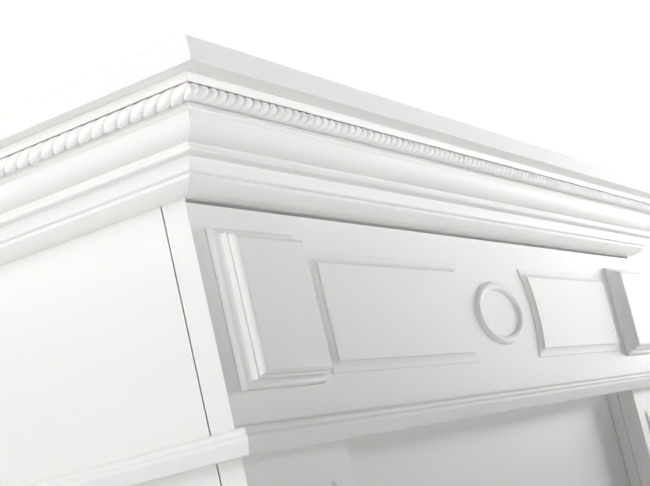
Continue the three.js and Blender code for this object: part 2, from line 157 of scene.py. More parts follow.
# The frieze relief.
PANEL_OUTER_INSET = 171
PANEL_TOP_DROP = 36
PANEL_HEIGHT = 108.5
PANEL_BORDER = 10.7
PANEL_EDGE = 1.4
PANEL_EDGE_ROUND = ((0, -0.5), (0.15, -0.15), (0.5, 0), (1.1, 0.03))
PANEL_HOLLOW_START = (0.4, 0.08)
PANEL_HOLLOW_BULGE = 0.6
PANEL_HOLLOW_STEPS = 8
PANEL_RISE = 3.4
PANEL_STEP = (0.9, 1.6)
PANEL_STEP_FOOT = (0.08, 0.4)
PANEL_STEP_ROUND = ((0.14, -0.5), (0.34, -0.15))
PANEL_END_RADIUS = 108
OVAL_HALF = (63.5, 31.8)
OVAL_BEAD = (10.7, 4)
OVAL_BEAD_STEPS = 16
OVAL_INNER_FOOT = (0.01, 0.5)
RELIEF_ROOT = 3
RELIEF_MIDDLE = CORNICE_FOOT / MM - PANEL_TOP_DROP - PANEL_HEIGHT / 2
EDGE_BEND = 0.3

# The block's border, as inset and rise: its rounded edge, then a cove, a fillet and quirk, and an
# ovolo.
BLOCK_EDGE = ((0, 0.3), (0, 3.2), (0.1, 3.9), (0.45, 4.6), (1, 5.2), (1.6, 5.6), (2.1, 5.9))
BLOCK_COVE = ((2.3, 6), (6, 8))
BLOCK_COVE_BULGE = 0.35
BLOCK_COVE_STEPS = 6
BLOCK_FILLET = ((6.25, 8.2), (6.4, 8.6), (6.5, 12.6), (6.62, 13.2), (6.9, 13.6), (7.3, 13.8),
                (8.2, 13.85), (8.35, 13.95), (8.4, 14.9))
BLOCK_OVOLO_START = (8.5, 15.1)
BLOCK_OVOLO_RADII = (5, 5.2)
BLOCK_OVOLO_STEPS = 10

# The open gap left along the top of the frieze, under the front cornice: height, depth and the
# thickness of wood left at each end.
SHADOW_GAP_HEIGHT = 3.6
SHADOW_GAP_DEPTH = 17
SHADOW_GAP_END = 0.9

# The camera, solved from the picture's two sets of parallel edges.
CAMERA_PLACE = (-1.46992, -0.65709, 0.76263)
CAMERA_HEADING = 63.176
CAMERA_PITCH = 9.976
CAMERA_ROLL = -13.36
CAMERA_LENS = 76.04
CAMERA_CLIP = (0.01, 100)
SENSOR_WIDTH = 36

FLOOR_SIZE = (11, 7)
FLOOR_CENTRE = (-0.5, 0, 0)
FLOOR_ROUGHNESS = 0.8

# Each soft light: its name, place, size and the setting that holds its power. All face the target.
LIGHTS = (
    ("left_light", (-2.6, 0.1, 2.2), (1.8, 1.4), "key_power"),
    ("side_light", (-2.8, 0.3, 1), (2, 1.4), "side_power"),
    ("back_light", (0.4, 3, 3.2), (3, 1.5), "back_power"),
    ("window_light", (3.58, -1.07, 1.12), (1.6, 0.35), "window_power"),
)
LIGHT_TARGET = (-0.3, -0.1, 0.95)

# The studio's surroundings: a bright white sweep round the floor's edge, which lights the work
# from below, and a soft pale ceiling. Each is start, end, first and last value over the height.
LOW_SWEEP = (-0.34, -0.1, 20, 0)
CEILING = (0, 0.5, 0, 0.25)
BACKDROP = 1.05

# The noises in the finishes: scale, detail, and the two values that each is spread between.
NOISE_RANGE = (0.3, 0.7)
LACQUER_CLOUD = (7, 4, 0, 1)
LACQUER_SHEEN = (55, 3)
LACQUER_SHEEN_SPREAD = (-0.035, 0.04)
LACQUER_RIPPLE = (420, 2, 0, 1)
LACQUER_RIPPLE_STRENGTH = 0.55
PAINT_CLOUD = (11, 5, 0, 1)
PAINT_SHEEN = (40, 3, 0.42, 0.55)
PAINT_RIPPLE = (300, 4, 0, 1)
PAINT_RIPPLE_STRENGTH = 0.6
FLOOR_CLOUD = (1.5, 3, 0, 1)
CLOUD_TINT = (0.965, 0.96, 0.95)
LACQUER_IOR = 1.5


class LacquerSettings(bpy.types.PropertyGroup):
    white: FloatVectorProperty(
        name="Lacquer white", description="Colour of the satin lacquer",
        subtype="COLOR", size=3, min=0, max=1, default=(0.86, 0.857, 0.85))
    inner_white: FloatVectorProperty(
        name="Inner white", description="Colour of the plain paint on the hidden boards",
        subtype="COLOR", size=3, min=0, max=1, default=(0.83, 0.827, 0.815))
    roughness: FloatProperty(
        name="Roughness", description="Mean roughness of the lacquer",
        min=0, max=1, default=0.21)
    peel: FloatProperty(
        name="Orange peel", description="Depth of the sprayed surface's ripple",
        subtype="DISTANCE", unit="LENGTH", default=0.00002)


class JoinerySettings(bpy.types.PropertyGroup):
    board_ease: FloatProperty(
        name="Board edge", description="Width of the eased edges of the boards",
        subtype="DISTANCE", unit="LENGTH", default=0.0008)
    moulding_ease: FloatProperty(
        name="Moulding edge", description="Width of the softened edges of the mouldings",
        subtype="DISTANCE", unit="LENGTH", default=0.00035)
    arc_steps: IntProperty(
        name="Curve steps", description="Steps in each rounded part of a section",
        min=4, max=32, default=12)
    end_steps: IntProperty(
        name="Panel end steps", description="Steps in the hollow end of a raised panel",
        min=8, max=64, default=36)
    oval_steps: IntProperty(
        name="Oval steps", description="Steps round the oval bead",
        min=24, max=160, default=112)


class StudioSettings(bpy.types.PropertyGroup):
    key_power: FloatProperty(
        name="Left light", description="Power of the soft light high on the left",
        unit="POWER", default=20)
    side_power: FloatProperty(
        name="Side light", description="Power of the soft light level with the left side",
        unit="POWER", default=20)
    back_power: FloatProperty(
        name="Back light", description="Power of the soft light behind and above the surround",
        unit="POWER", default=60)
    window_power: FloatProperty(
        name="Window light", description="Power of the long low light off the right end",
        unit="POWER", default=76)
    sky: FloatProperty(
        name="Surroundings", description="Strength of the light from all round",
        default=1)
    floor_grey: FloatProperty(
        name="Floor", description="Grey of the plain floor", min=0, max=1, default=0.8)


# Materials.

def material_nodes(name):
    material = bpy.data.materials.new(name)
    material.use_nodes = True
    tree = material.node_tree
    shader = tree.nodes["Principled BSDF"]
    place = tree.nodes.new("ShaderNodeTexCoord")
    return material, tree, shader, place.outputs["Object"]


def noise_range(tree, place, scale, detail, low, high):
    """A noise over the piece, spread between two values."""
    noise = tree.nodes.new("ShaderNodeTexNoise")
    noise.inputs["Scale"].default_value = scale
    noise.inputs["Detail"].default_value = detail
    tree.links.new(place, noise.inputs["Vector"])
    spread = tree.nodes.new("ShaderNodeMapRange")
    spread.inputs["From Min"].default_value = NOISE_RANGE[0]
    spread.inputs["From Max"].default_value = NOISE_RANGE[1]
    spread.inputs["To Min"].default_value = low
    spread.inputs["To Max"].default_value = high
    tree.links.new(noise.outputs["Fac"], spread.inputs["Value"])
    return spread.outputs["Result"]


def tinted(tree, colour, amount):
    """The colour, darkened and warmed a little where the amount is low."""
    mix = tree.nodes.new("ShaderNodeMix")
    mix.data_type = "RGBA"
    darker = [part * share for part, share in zip(colour, CLOUD_TINT)]
    mix.inputs["A"].default_value = (*darker, 1)
    mix.inputs["B"].default_value = (*colour, 1)
    tree.links.new(amount, mix.inputs["Factor"])
    return mix.outputs["Result"]


def rippled(tree, shader, height, depth, strength):
    bump = tree.nodes.new("ShaderNodeBump")
    bump.inputs["Strength"].default_value = strength
    bump.inputs["Distance"].default_value = depth
    tree.links.new(height, bump.inputs["Height"])
    tree.links.new(bump.outputs["Normal"], shader.inputs["Normal"])


def white_lacquer():
    """Satin white lacquer: an even white, faint cloudiness and a fine sprayed ripple."""
    found = bpy.data.materials.get("white_lacquer")
    if found:
        return found
    look = bpy.context.scene.surround_lacquer
    material, tree, shader, place = material_nodes("white_lacquer")
    cloud = noise_range(tree, place, *LACQUER_CLOUD)
    tree.links.new(tinted(tree, look.white, cloud), shader.inputs["Base Color"])
    smoothest, roughest = (look.roughness + part for part in LACQUER_SHEEN_SPREAD)
    sheen = noise_range(tree, place, *LACQUER_SHEEN, smoothest, roughest)
    tree.links.new(sheen, shader.inputs["Roughness"])
    ripple = noise_range(tree, place, *LACQUER_RIPPLE)
    rippled(tree, shader, ripple, look.peel, LACQUER_RIPPLE_STRENGTH)
    shader.inputs["IOR"].default_value = LACQUER_IOR
    return material


def inner_paint():
    """Plain rolled white paint on the boards that stand back."""
    found = bpy.data.materials.get("inner_paint")
    if found:
        return found
    look = bpy.context.scene.surround_lacquer
    material, tree, shader, place = material_nodes("inner_paint")
    cloud = noise_range(tree, place, *PAINT_CLOUD)
    tree.links.new(tinted(tree, look.inner_white, cloud), shader.inputs["Base Color"])
    tree.links.new(noise_range(tree, place, *PAINT_SHEEN), shader.inputs["Roughness"])
    ripple = noise_range(tree, place, *PAINT_RIPPLE)
    rippled(tree, shader, ripple, look.peel * 2, PAINT_RIPPLE_STRENGTH)
    return material


# Modelling helpers.

def deselect_everything():
    bpy.ops.object.select_all(action="DESELECT")


def activate(piece):
    deselect_everything()
    piece.select_set(True)
    bpy.context.view_layer.objects.active = piece


def drawn_outline(name, points, filled):
    """A new piece holding one closed outline, drawn vertex by vertex, in metres."""
    deselect_everything()
    bpy.ops.mesh.primitive_plane_add(size=MM, location=(0, 0, 0))
    piece = bpy.context.object
    piece.name = name
    piece.data.name = name
    bpy.ops.object.mode_set(mode="EDIT")
    bpy.ops.mesh.select_mode(type="VERT")
    bpy.ops.mesh.select_all(action="SELECT")
    bpy.ops.mesh.merge(type="CENTER")
    bpy.ops.transform.translate(value=points[0])
    for here, there in zip(points, points[1:] + points[:1]):
        step = Vector(there) - Vector(here)
        bpy.ops.mesh.extrude_region_move(TRANSFORM_OT_translate={"value": step})
    bpy.ops.mesh.select_all(action="SELECT")
    bpy.ops.mesh.remove_doubles(threshold=WELD)
    if filled:
        bpy.ops.mesh.select_all(action="SELECT")
        bpy.ops.mesh.edge_face_add()
    return piece


def smooth(piece, degrees=SMOOTH_ANGLE):
    """Smooth shading over the curves, with the large flat faces kept truly flat."""
    activate(piece)
    bpy.ops.object.shade_smooth_by_angle(angle=math.radians(degrees))
    weighted = piece.modifiers.new("weighted normals", "WEIGHTED_NORMAL")
    weighted.keep_sharp = True
    bpy.ops.object.modifier_apply(modifier=weighted.name)


def finish_piece(piece, nodes, material):
    """Gives a piece its finish and puts it on the body in place of the nodes it stands for."""
    piece.data.materials.clear()
    piece.data.materials.append(material)
    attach(piece, "root")
    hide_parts(*nodes)


def arc(centre, radii, start, end, steps):
    """Points of an elliptical arc in the section, angles in degrees from outward to up."""
    points = []
    for i in range(steps + 1):
        angle = math.radians(start + (end - start) * i / steps)
        points.append((centre[0] + radii[0] * math.cos(angle),
                       centre[1] + radii[1] * math.sin(angle)))
    return points


def bowed(start, end, bulge, steps):
    """Points of a shallow curve, bowed to the right of its direction."""
    run = Vector(end) - Vector(start)
    side = Vector((run.y, -run.x)).normalized()
    points = []
    for i in range(steps + 1):
        t = i / steps
        points.append(tuple(Vector(start) + run * t + side * (4 * bulge * t * (1 - t))))
    return points


def eased(points, width, least_turn=32, most_of_side=0.4):
    """The outline with each sharp corner rounded by a short three-point curve."""
    rounded = []
    count = len(points)
    for i, corner in enumerate(points):
        corner = Vector(corner)
        back = Vector(points[i - 1]) - corner
        ahead = Vector(points[(i + 1) % count]) - corner
        turn = math.degrees((-back).angle(ahead))
        if turn < least_turn:
            rounded.append(tuple(corner))
            continue
        reach_back = min(width, most_of_side * back.length)
        reach_ahead = min(width, most_of_side * ahead.length)
        first = corner + back.normalized() * reach_back
        last = corner + ahead.normalized() * reach_ahead
        middle = (first + last) * 0.25 + corner * 0.5
        rounded += [tuple(first), tuple(middle), tuple(last)]
    return rounded


def cut(piece, place, normal):
    """Cuts away what lies beyond the plane and closes the end."""
    activate(piece)
    bpy.ops.object.mode_set(mode="EDIT")
    bpy.ops.mesh.select_all(action="SELECT")
    bpy.ops.mesh.bisect(plane_co=place, plane_no=normal, use_fill=True, clear_outer=True)
    bpy.ops.object.mode_set(mode="OBJECT")


def cut_run(piece, start, end):
    """Cuts a run along X at both ends. Each end is (place, mitre): 1 is 45 degrees, 0 square."""
    for (place, mitre), way in ((start, -1), (end, 1)):
        shift = SEAM / 2 * math.sqrt(2) * mitre
        normal = Vector((way, mitre, 0)).normalized()
        cut(piece, (place - way * shift, 0, 0), normal)


def recalculate(piece):
    """Merges points that coincide and turns the faces outward."""
    activate(piece)
    bpy.ops.object.mode_set(mode="EDIT")
    bpy.ops.mesh.select_all(action="SELECT")
    bpy.ops.mesh.remove_doubles(threshold=FINE_WELD)
    bpy.ops.mesh.normals_make_consistent(inside=False)
    bpy.ops.object.mode_set(mode="OBJECT")


def turn_to(piece, side, height):
    """Moves a run modelled along X to the front, left or right of the case."""
    places = {
        "front": (0, CASE_FRONT, 0),
        "left": (-HALF_CASE, 0, -math.pi / 2),
        "right": (HALF_CASE, 0, math.pi / 2),
    }
    x, y, turn = places[side]
    activate(piece)
    piece.rotation_euler = (0, 0, turn)
    piece.location = (x, y, height)
    bpy.ops.object.transform_apply(location=True, rotation=True, scale=True)


def run_ends(side):
    """Where a wrapping moulding starts and ends along its own X, with each end's mitre."""
    return {
        "front": ((-HALF_CASE, 1), (HALF_CASE, 1)),
        "left": ((-CASE_BACK, 0), (-CASE_FRONT, 1)),
        "right": ((CASE_FRONT, 1), (CASE_BACK, 0)),
    }[side]


def moulding_run(name, section, side, ends, height, reach):
    """One length of moulding: its section drawn, extruded along the run and cut at its ends."""
    start, end = ends
    first = start[0] - reach * start[1]
    last = end[0] + reach * end[1]
    outline = [(first - RUN_SPARE, -out * MM, up * MM) for out, up in section]
    piece = drawn_outline(name, outline, True)
    bpy.ops.mesh.select_all(action="SELECT")
    length = last - first + 2 * RUN_SPARE
    bpy.ops.mesh.extrude_region_move(TRANSFORM_OT_translate={"value": (length, 0, 0)})
    bpy.ops.object.mode_set(mode="OBJECT")
    recalculate(piece)
    cut_run(piece, start, end)
    turn_to(piece, side, height)
    recalculate(piece)
    smooth(piece)
    return piece


def wrapping_moulding(made, replaced, section, height, reach):
    """A moulding round the front and both sides, in three mitred lengths."""
    for side in ("front", "left", "right"):
        piece = moulding_run(made + side, section, side, run_ends(side), height, reach)
        finish_piece(piece, [replaced + side], white_lacquer())


def stepped_relief(name, outline, base, steps):
    """A form raised from a plane towards -Y: an outline filled, then inset and raised in steps."""
    points = [(x * MM, base - steps[0][1] * MM, z * MM) for x, z in outline]
    piece = drawn_outline(name, points, True)
    bpy.ops.mesh.select_mode(type="FACE")
    inset, rise = steps[0]
    for next_inset, next_rise in steps[1:]:
        thickness = (next_inset - inset) * MM
        depth = (next_rise - rise) * MM
        if next_inset == inset:
            bpy.ops.mesh.extrude_region_move(TRANSFORM_OT_translate={"value": (0, -depth, 0)})
        else:
            bpy.ops.mesh.inset(thickness=thickness, depth=0, use_even_offset=True)
            bpy.ops.transform.translate(value=(0, -depth, 0))
        inset, rise = next_inset, next_rise
    bpy.ops.object.mode_set(mode="OBJECT")
    recalculate(piece)
    return piece


def lofted_relief(name, outline_at, base, steps):
    """A form raised from a plane towards -Y, with its outline worked out anew for each inset."""
    rings = [[(x * MM, base - rise * MM, z * MM) for x, z in outline_at(inset)]
             for inset, rise in steps]
    count = len(rings[0])
    faces = [tuple(range(count)), tuple(range((len(rings) - 1) * count, len(rings) * count))]
    for ring in range(len(rings) - 1):
        here, there = ring * count, (ring + 1) * count
        for i in range(count):
            j = (i + 1) % count
            faces.append((here + i, here + j, there + j, there + i))
    mesh = bpy.data.meshes.new(name)
    mesh.from_pydata([point for ring in rings for point in ring], [], faces)
    piece = bpy.data.objects.new(name, mesh)
    bpy.context.scene.collection.objects.link(piece)
    recalculate(piece)
    return piece


def block_of_air(place, size):
    """A cutter for a boolean, centred on its place."""
    bpy.ops.mesh.primitive_cube_add(size=1, location=place)
    block = bpy.context.object
    block.scale = size
    bpy.ops.object.transform_apply(location=True, rotation=True, scale=True)
    return block


def join_by_boolean(piece, others, operation):
    for other in others:
        activate(piece)
        joint = piece.modifiers.new("joint", "BOOLEAN")
        joint.operation = operation
        joint.solver = "EXACT"
        joint.object = other
        bpy.ops.object.modifier_apply(modifier=joint.name)
        bpy.data.objects.remove(other)


def eased_copy(node, name, width):
    """A copy of a board from the frame with its flat faces whole and its edges eased."""
    piece = NODES[node].copy()
    piece.data = NODES[node].data.copy()
    piece.name = name
    piece.data.name = name
    piece.parent = None
    for key in list(piece.keys()):
        del piece[key]
    bpy.context.scene.collection.objects.link(piece)
    activate(piece)
    bpy.ops.object.mode_set(mode="EDIT")
    bpy.ops.mesh.select_mode(type="VERT")
    bpy.ops.mesh.select_all(action="SELECT")
    bpy.ops.mesh.remove_doubles(threshold=WELD)
    bpy.ops.mesh.dissolve_limited(angle_limit=math.radians(FLAT_ANGLE))
    bpy.ops.object.mode_set(mode="OBJECT")
    bevel = piece.modifiers.new("eased edges", "BEVEL")
    bevel.width = width
    bevel.segments = EASED_SEGMENTS
    bevel.limit_method = "ANGLE"
    bevel.angle_limit = math.radians(EASED_ANGLE)
    bpy.ops.object.modifier_apply(modifier=bevel.name)
    smooth(piece)
    return piece


# Sections, in millimetres out from the case and up from the moulding's foot.

def cornice_section():
    rig = bpy.context.scene.surround_joinery
    steps = rig.arc_steps
    ovolo_centre = (BIG_OVOLO_START, BIG_OVOLO_TOP)
    ovolo_radii = (BIG_OVOLO_FACE - BIG_OVOLO_START, BIG_OVOLO_TOP - BIG_OVOLO_BOTTOM)
    ovolo_out, ovolo_up = LOWER_OVOLO
    lip_out, lip_up = LOWER_OVOLO_LIP
    points = [(BACK_GAP, 0)]
    points += bowed((DRIP, 0), LOWER_OVOLO, LOWER_OVOLO_BULGE, steps // 2)
    points += [(ovolo_out + lip_out, ovolo_up + lip_up), (ovolo_out, QUIRK_TOP)]
    foot, start = ((CAVETTO_FOOT + out, QUIRK_TOP + up) for out, up in CAVETTO_EDGE)
    points += [foot]
    points += bowed(start, CAVETTO_TOP, CAVETTO_BULGE, steps // 2)
    cavetto_out = CAVETTO_TOP[0]
    points += [(cavetto_out, BEAD_BOTTOM), (cavetto_out + BEAD_UNDERSIDE, BEAD_BOTTOM)]
    points += arc((BEAD_FACE - BEAD_ROUND, BEAD_BOTTOM + BEAD_ROUND),
                  (BEAD_ROUND, BEAD_ROUND), *BEAD_ARC, steps // 2)
    points += [(BIG_OVOLO_START, BEAD_BOTTOM + BEAD_HEIGHT)]
    points += [(BIG_OVOLO_START, BIG_OVOLO_BOTTOM)]
    points += arc(ovolo_centre, ovolo_radii, *BIG_OVOLO_ARC, 2 * steps)
    foot_out, foot_up = UPPER_FILLET_FOOT
    seat_bottom, seat_top = ROPE_SEAT
    hollow_top = seat_top + ROPE_SEAT_HOLLOW
    band_foot = BAND_FACE - BAND_LEAN
    points += [(UPPER_FILLET + foot_out, BIG_OVOLO_TOP + foot_up), (UPPER_FILLET, seat_bottom)]
    points += [(ROPE_SEAT_DEPTH, seat_bottom), (ROPE_SEAT_DEPTH, hollow_top)]
    points += [(band_foot - ROPE_SEAT_LIP, hollow_top)]
    points += bowed((band_foot, seat_top), (BAND_FACE, CORNICE_HEIGHT), BAND_BULGE, steps)
    points += [(BACK_GAP, CORNICE_HEIGHT)]
    return eased(points, rig.moulding_ease / MM)


def lower_moulding_section():
    rig = bpy.context.scene.surround_joinery
    steps = rig.arc_steps
    quirk_depth, quirk_height = NOSE_QUIRK
    quirk_top = MOULDING_HEIGHT - NOSE_TOP_FILLET
    nose_top = quirk_top - quirk_height
    recess_out, recess_up = FOOT_RECESS
    points = [(BACK_GAP, recess_up), (recess_out, recess_up), (recess_out, 0)]
    points += arc(FOOT_ROUND_CENTRE, (FOOT_ROUND, FOOT_ROUND), *FOOT_ARC, steps)
    points += arc((NOSE_FACE - NOSE_RADIUS, nose_top - NOSE_RADIUS),
                  (NOSE_RADIUS, NOSE_RADIUS), *NOSE_ARC, steps)
    points += [(NOSE_TOP_FACE - quirk_depth, quirk_top), (NOSE_TOP_FACE, quirk_top)]
    points += arc((NOSE_TOP_FACE - NOSE_TOP_ROUND, MOULDING_HEIGHT - NOSE_TOP_ROUND),
                  (NOSE_TOP_ROUND, NOSE_TOP_ROUND), 0, 90, steps)
    points += [(BACK_GAP, MOULDING_HEIGHT)]
    return eased(points, rig.moulding_ease / MM)


def plinth_section():
    rig = bpy.context.scene.surround_joinery
    shoulder = PLINTH_HEIGHT - PLINTH_OVOLO
    radii = (PLINTH_OVOLO - PLINTH_STEP, PLINTH_OVOLO)
    points = [(BACK_GAP, 0), (PLINTH_FACE, 0), (PLINTH_FACE, shoulder)]
    points += arc((PLINTH_FACE - PLINTH_OVOLO, shoulder), radii, 0, 90, rig.arc_steps)
    points += [(BACK_GAP, PLINTH_HEIGHT)]
    return eased(points, rig.moulding_ease / MM)


# The frieze's relief and the blocks. Outlines are millimetres across and up; steps are
# millimetres inwards from the outline and outwards from the board.

def panel_outline(sign, inset):
    """The outline of a raised panel, hollowed at its inner end about the oval's centre."""
    rig = bpy.context.scene.surround_joinery
    half_height = PANEL_HEIGHT / 2 - inset
    left = -HALF_CASE / MM + PANEL_OUTER_INSET + inset
    radius = PANEL_END_RADIUS + inset
    half = math.asin(half_height / radius)
    points = [(left, RELIEF_MIDDLE + half_height), (left, RELIEF_MIDDLE - half_height)]
    for i in range(rig.end_steps + 1):
        angle = math.pi + half * (1 - 2 * i / rig.end_steps)
        points.append((radius * math.cos(angle), RELIEF_MIDDLE + radius * math.sin(angle)))
    return [(-sign * x, z) for x, z in points]


def panel_steps():
    """Inset and rise of the panel's border: an edge, a hollow rising inwards and a step."""
    step_width, step_height = PANEL_STEP
    inner = PANEL_BORDER - step_width
    top = PANEL_RISE + step_height
    hollow_inset, hollow_rise = PANEL_HOLLOW_START
    hollow_start = (PANEL_EDGE + hollow_inset, PANEL_EDGE + hollow_rise)
    steps = [(0, -RELIEF_ROOT)]
    steps += [(inset, PANEL_EDGE + rise) for inset, rise in PANEL_EDGE_ROUND]
    steps += bowed(hollow_start, (inner, PANEL_RISE), PANEL_HOLLOW_BULGE, PANEL_HOLLOW_STEPS)
    steps += [(inner + PANEL_STEP_FOOT[0], PANEL_RISE + PANEL_STEP_FOOT[1])]
    steps += [(inner + inset, top + rise) for inset, rise in PANEL_STEP_ROUND]
    steps += [(PANEL_BORDER, top)]
    return steps


def oval_outline():
    """The outer edge of the oval bead."""
    rig = bpy.context.scene.surround_joinery
    half_width, half_height = OVAL_HALF
    points = []
    for i in range(rig.oval_steps):
        angle = 2 * math.pi * i / rig.oval_steps
        normal = Vector((half_height * math.cos(angle), half_width * math.sin(angle)))
        edge = normal.normalized() * OVAL_BEAD[0] / 2
        points.append((half_width * math.cos(angle) + edge.x,
                       RELIEF_MIDDLE + half_height * math.sin(angle) + edge.y))
    return points


def oval_steps():
    """Inset and rise of the half-round bead, over its crest and back down inside."""
    width, height = OVAL_BEAD
    steps = [(0, -RELIEF_ROOT), (0, 0)]
    for i in range(1, OVAL_BEAD_STEPS):
        angle = math.pi * i / OVAL_BEAD_STEPS
        steps.append((width / 2 * (1 - math.cos(angle)), height * math.sin(angle)))
    steps += [(width, 0), (width + OVAL_INNER_FOOT[0], OVAL_INNER_FOOT[1] - RELIEF_ROOT)]
    return steps


def block_steps():
    """Inset and rise of a raised block: rounded edge, cove, fillet, quirk and ovolo."""
    inset, rise = BLOCK_OVOLO_START
    steps = [*BLOCK_EDGE, *bowed(*BLOCK_COVE, BLOCK_COVE_BULGE, BLOCK_COVE_STEPS)]
    steps += [*BLOCK_FILLET, BLOCK_OVOLO_START]
    for i in range(1, BLOCK_OVOLO_STEPS + 1):
        angle = math.pi / 2 * i / BLOCK_OVOLO_STEPS
        steps.append((inset + BLOCK_OVOLO_RADII[0] * (1 - math.cos(angle)),
                      rise + BLOCK_OVOLO_RADII[1] * math.sin(angle)))
    return steps


class SurroundOperator:
    """What all the modelling operators share."""
    bl_options = {"REGISTER", "UNDO"}


class OBJECT_OT_surround_boards(SurroundOperator, bpy.types.Operator):
    """Makes the shelf, sides, pilasters and the boards behind them, with eased edges"""
    bl_idname = "object.surround_boards"
    bl_label = "Boards"

    def open_joint(self, piece, sign):
        """Cuts the thin joint along the side board's front edge, wider inside so it stays dark."""
        undercut = math.radians(JOINT_UNDERCUT)
        outside = sign * HALF_CASE
        spread = 2 * JOINT_DEPTH * MM
        wedge = block_of_air((outside, SIDE_LOW.y, 0), (spread, spread, 3 * SIDE_HIGH.z))
        mouth = (outside, SIDE_LOW.y + JOINT_WIDTH * MM, 0)
        cut(wedge, mouth, (sign * math.sin(undercut), math.cos(undercut), 0))
        join_by_boolean(piece, [wedge], "DIFFERENCE")
        smooth(piece)

    def execute(self, context):
        ease = context.scene.surround_joinery.board_ease
        lacquered = ["top_board", "side_left", "side_right", "pilaster_left", "pilaster_right"]
        painted = ["inner_panel", "batten_left", "batten_right", "header_rail", "back_rail"]
        for node in lacquered:
            piece = eased_copy(node, node + "_eased", ease)
            if node.startswith("side"):
                self.open_joint(piece, -1 if node == "side_left" else 1)
            finish_piece(piece, [node], white_lacquer())
        for node in painted:
            piece = eased_copy(node, node + "_eased", ease)
            finish_piece(piece, [node], inner_paint())
        return {"FINISHED"}


class OBJECT_OT_surround_cornice(SurroundOperator, bpy.types.Operator):
    """Makes the three lengths of the cornice, mitred at the corners"""
    bl_idname = "object.surround_cornice"
    bl_label = "Cornice"

    def execute(self, context):
        wrapping_moulding("cornice_moulded_", "cornice_", cornice_section(),
                          CORNICE_FOOT, BAND_FACE * MM)
        return {"FINISHED"}


class OBJECT_OT_surround_rope(SurroundOperator, bpy.types.Operator):
    """Lays the strands of the rope and mitres its three lengths"""
    bl_idname = "object.surround_rope"
    bl_label = "Rope"

    def strand_outline(self):
        """The rope's section: a full lobe for each strand, with a narrow groove between two."""
        points = []
        for i in range(ROPE_STRANDS * STRAND_STEPS):
            across = 2 * (i % STRAND_STEPS) / STRAND_STEPS - 1
            radius = (ROPE_RADIUS - GROOVE_DEPTH * abs(across) ** GROOVE_SHARPNESS) * MM
            angle = 2 * math.pi * i / (ROPE_STRANDS * STRAND_STEPS)
            points.append((0, radius * math.cos(angle), radius * math.sin(angle)))
        return points

    def length_of_rope(self, name, side):
        """One length: the section swept along the helix, cut at its ends and put in its seat."""
        start, end = run_ends(side)
        lead = ROPE_STRANDS * ROPE_PITCH * MM
        turns = math.ceil((end[0] - start[0] + 2 * ROPE_SPARE) / lead)
        piece = drawn_outline(name, self.strand_outline(), False)
        bpy.ops.object.mode_set(mode="OBJECT")
        activate(piece)
        screw = piece.modifiers.new("lay", "SCREW")
        screw.axis = "X"
        screw.angle = -2 * math.pi
        screw.screw_offset = lead
        screw.iterations = turns
        screw.steps = HELIX_STEPS
        screw.render_steps = HELIX_STEPS
        screw.use_merge_vertices = False
        bpy.ops.object.modifier_apply(modifier=screw.name)
        middle = (ROPE_SEAT[0] + ROPE_SEAT[1]) / 2 * MM
        piece.location = (start[0] - ROPE_SPARE, -ROPE_AXIS_OUT * MM, middle)
        bpy.ops.object.transform_apply(location=True, rotation=True, scale=True)
        cut_run(piece, start, end)
        turn_to(piece, side, CORNICE_FOOT)
        recalculate(piece)
        smooth(piece, ROPE_SMOOTH_ANGLE)
        return piece

    def execute(self, context):
        for side in ("front", "left", "right"):
            piece = self.length_of_rope("rope_laid_" + side, side)
            finish_piece(piece, ["rope_" + side], white_lacquer())
        return {"FINISHED"}


class OBJECT_OT_surround_frieze(SurroundOperator, bpy.types.Operator):
    """Makes the frieze board with its two raised panels and the oval bead as one piece"""
    bl_idname = "object.surround_frieze"
    bl_label = "Frieze"

    def shadow_gap(self):
        """The block of air that is cut out of the frieze's face under the cornice."""
        length = 2 * (HALF_CASE - SHADOW_GAP_END * MM)
        height = SHADOW_GAP_HEIGHT * MM
        place = (0, CASE_FRONT, CORNICE_FOOT - height / 2)
        return block_of_air(place, (length, 2 * SHADOW_GAP_DEPTH * MM, height))

    def execute(self, context):
        ease = context.scene.surround_joinery.board_ease / MM
        half = HALF_CASE / MM
        low, high = CASE_LOW.z / MM, CASE_HIGH.z / MM
        outline = [(-half, low), (half, low), (half, high), (-half, high)]
        back = (CASE_HIGH.y - CASE_FRONT) / MM
        bend = ease * EDGE_BEND
        board = stepped_relief("frieze_carved", outline, CASE_FRONT,
                               [(0, -back), (0, -ease), (bend, -bend), (ease, 0)])
        panels = [lofted_relief("panel", partial(panel_outline, sign), CASE_FRONT, panel_steps())
                  for sign in (-1, 1)]
        oval = stepped_relief("oval", oval_outline(), CASE_FRONT, oval_steps())
        join_by_boolean(board, panels + [oval], "UNION")
        join_by_boolean(board, [self.shadow_gap()], "DIFFERENCE")
        smooth(board, RELIEF_SMOOTH_ANGLE)
        finish_piece(board, ["frieze_board"], white_lacquer())
        return {"FINISHED"}


class OBJECT_OT_surround_blocks(SurroundOperator, bpy.types.Operator):
    """Makes the raised block over each pilaster"""
    bl_idname = "object.surround_blocks"
    bl_label = "Blocks"

    def execute(self, context):
        for side in ("left", "right"):
            low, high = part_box("block_" + side)
            corners = ((low.x, low.z), (high.x, low.z), (high.x, high.z), (low.x, high.z))
            outline = [(x / MM, z / MM) for x, z in corners]
            piece = stepped_relief("block_moulded_" + side, outline, CASE_FRONT, block_steps())
            smooth(piece, RELIEF_SMOOTH_ANGLE)
            finish_piece(piece, ["block_" + side], white_lacquer())
        return {"FINISHED"}


class OBJECT_OT_surround_lower_moulding(SurroundOperator, bpy.types.Operator):
    """Makes the three lengths of the moulding under the frieze"""
    bl_idname = "object.surround_lower_moulding"
    bl_label = "Lower moulding"

    def execute(self, context):
        wrapping_moulding("lower_moulded_", "lower_moulding_", lower_moulding_section(),
                          MOULDING_FOOT, NOSE_FACE * MM)
        return {"FINISHED"}


